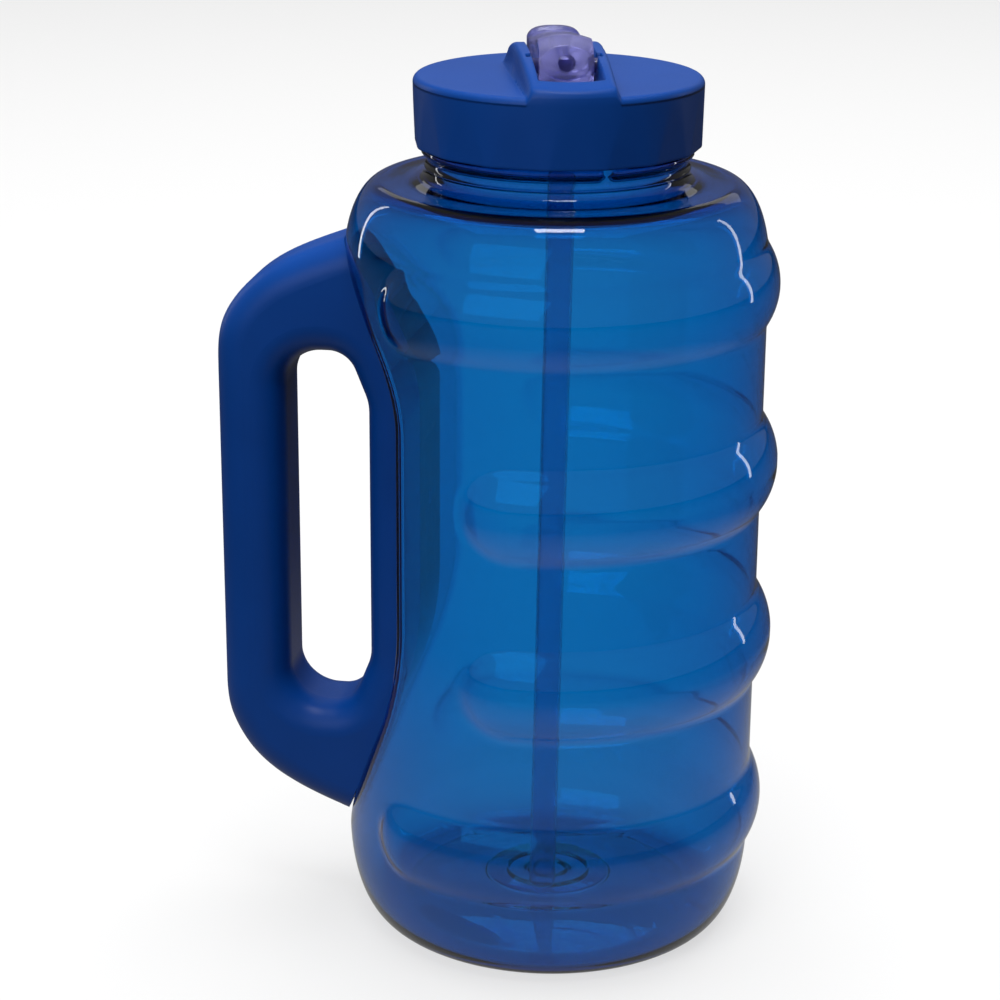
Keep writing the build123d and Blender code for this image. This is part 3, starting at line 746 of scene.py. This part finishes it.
def glow_near(tree):
    """How bright the floor is in reflections: pale round the bottle's foot, dim farther out."""
    nodes, links = tree.nodes, tree.links
    place = nodes.new("ShaderNodeNewGeometry")
    away = nodes.new("ShaderNodeVectorMath")
    away.operation = "LENGTH"
    fade = nodes.new("ShaderNodeMapRange")
    fade.inputs["From Min"].default_value = NEAR_FLOOR_R
    fade.inputs["From Max"].default_value = FAR_FLOOR_R
    fade.inputs["To Min"].default_value = NEAR_FLOOR_GLOW
    fade.inputs["To Max"].default_value = 0.0
    path = nodes.new("ShaderNodeLightPath")
    glossy = nodes.new("ShaderNodeMath")
    glossy.operation = "MULTIPLY"
    links.new(place.outputs["Position"], away.inputs[0])
    links.new(away.outputs["Value"], fade.inputs["Value"])
    links.new(fade.outputs["Result"], glossy.inputs[0])
    links.new(path.outputs["Is Glossy Ray"], glossy.inputs[1])
    return glossy.outputs["Value"]


def floor_material():
    """Pale and self-lit where it is seen, and dim as a source of light or in reflections."""
    material, tree, shader = new_material("floor")
    nodes, links = tree.nodes, tree.links
    tone = nodes.new("ShaderNodeCombineColor")
    grey = seen_or_lit(tree, FLOOR_LIT, FLOOR_SEEN)
    for channel in ("Red", "Green", "Blue"):
        links.new(grey, tone.inputs[channel])
    links.new(tone.outputs["Color"], shader.inputs["Base Color"])
    shader.inputs["Roughness"].default_value = 0.8
    shader.inputs["Specular IOR Level"].default_value = 0.0
    shader.inputs["Emission Color"].default_value = (1, 1, 1, 1)
    glow = nodes.new("ShaderNodeMath")
    glow.operation = "MAXIMUM"
    links.new(seen_or_lit(tree, 0.0, FLOOR_GLOW_SEEN), glow.inputs[0])
    links.new(glow_near(tree), glow.inputs[1])
    links.new(glow.outputs["Value"], shader.inputs["Emission Strength"])
    return material


def make_floor():
    """A wide pale floor."""
    mesh = bpy.data.meshes.new("floor")
    far = FLOOR_HALF
    corners = [(-far, -far, 0), (far, -far, 0), (far, far, 0), (-far, far, 0)]
    mesh.from_pydata(corners, [], [(0, 1, 2, 3)])
    floor = bpy.data.objects.new("floor", mesh)
    floor.location.z = FLOOR_Z
    bpy.context.collection.objects.link(floor)
    mesh.materials.append(floor_material())
    return floor


def make_world():
    """White all round where it is seen, directly or through the bottle, and dim as a light."""
    world = bpy.data.worlds.new("studio")
    world.use_nodes = True
    bpy.context.scene.world = world
    background = world.node_tree.nodes["Background"]
    background.inputs["Color"].default_value = (1, 1, 1, 1)
    strength = seen_or_lit(world.node_tree, WORLD_LIT, WORLD_SEEN)
    world.node_tree.links.new(strength, background.inputs["Strength"])


def make_lights():
    """Broad light from above and in front, and small lights that draw highlights."""
    top = add_light("top", (0.0, 0.5, 2.0), (0, 0.3, 0), (2.2, 2.2), 85)
    top.visible_glossy = False
    fill = add_light("fill", (-0.5, -1.4, 0.9), (0, 0, 0.12), (1.2, 1.0), 18)
    fill.visible_glossy = False
    add_light("back", (0, 2.4, 1.3), (0, 0, 0.2), (2.4, 0.6), 2)
    add_light("sky", (0.1, -0.5, 1.6), (0, 0, 0.15), (0.5, 0.25), 4.5)
    add_light("left", (-1.2, 0.75, 0.4), (0, 0, 0.12), (0.06, 1.0), 0.8)
    add_light("right", (1.2, 0.75, 0.4), (0, 0, 0.12), (0.06, 1.0), 0.8)


bpy.context.scene.view_settings.view_transform = "Standard"
make_camera()
make_world()
make_lights()
make_floor()
plastic = blue_plastic()
rubber = silicone()
make_bottle(clear_blue())
make_lid(plastic)
make_spout(smoky_plastic())
carry_over("handle", plastic)
carry_over("straw", straw_plastic())
for seal in ("gasket", "spout_seal", "vent_valve"):
    carry_over(seal, rubber)
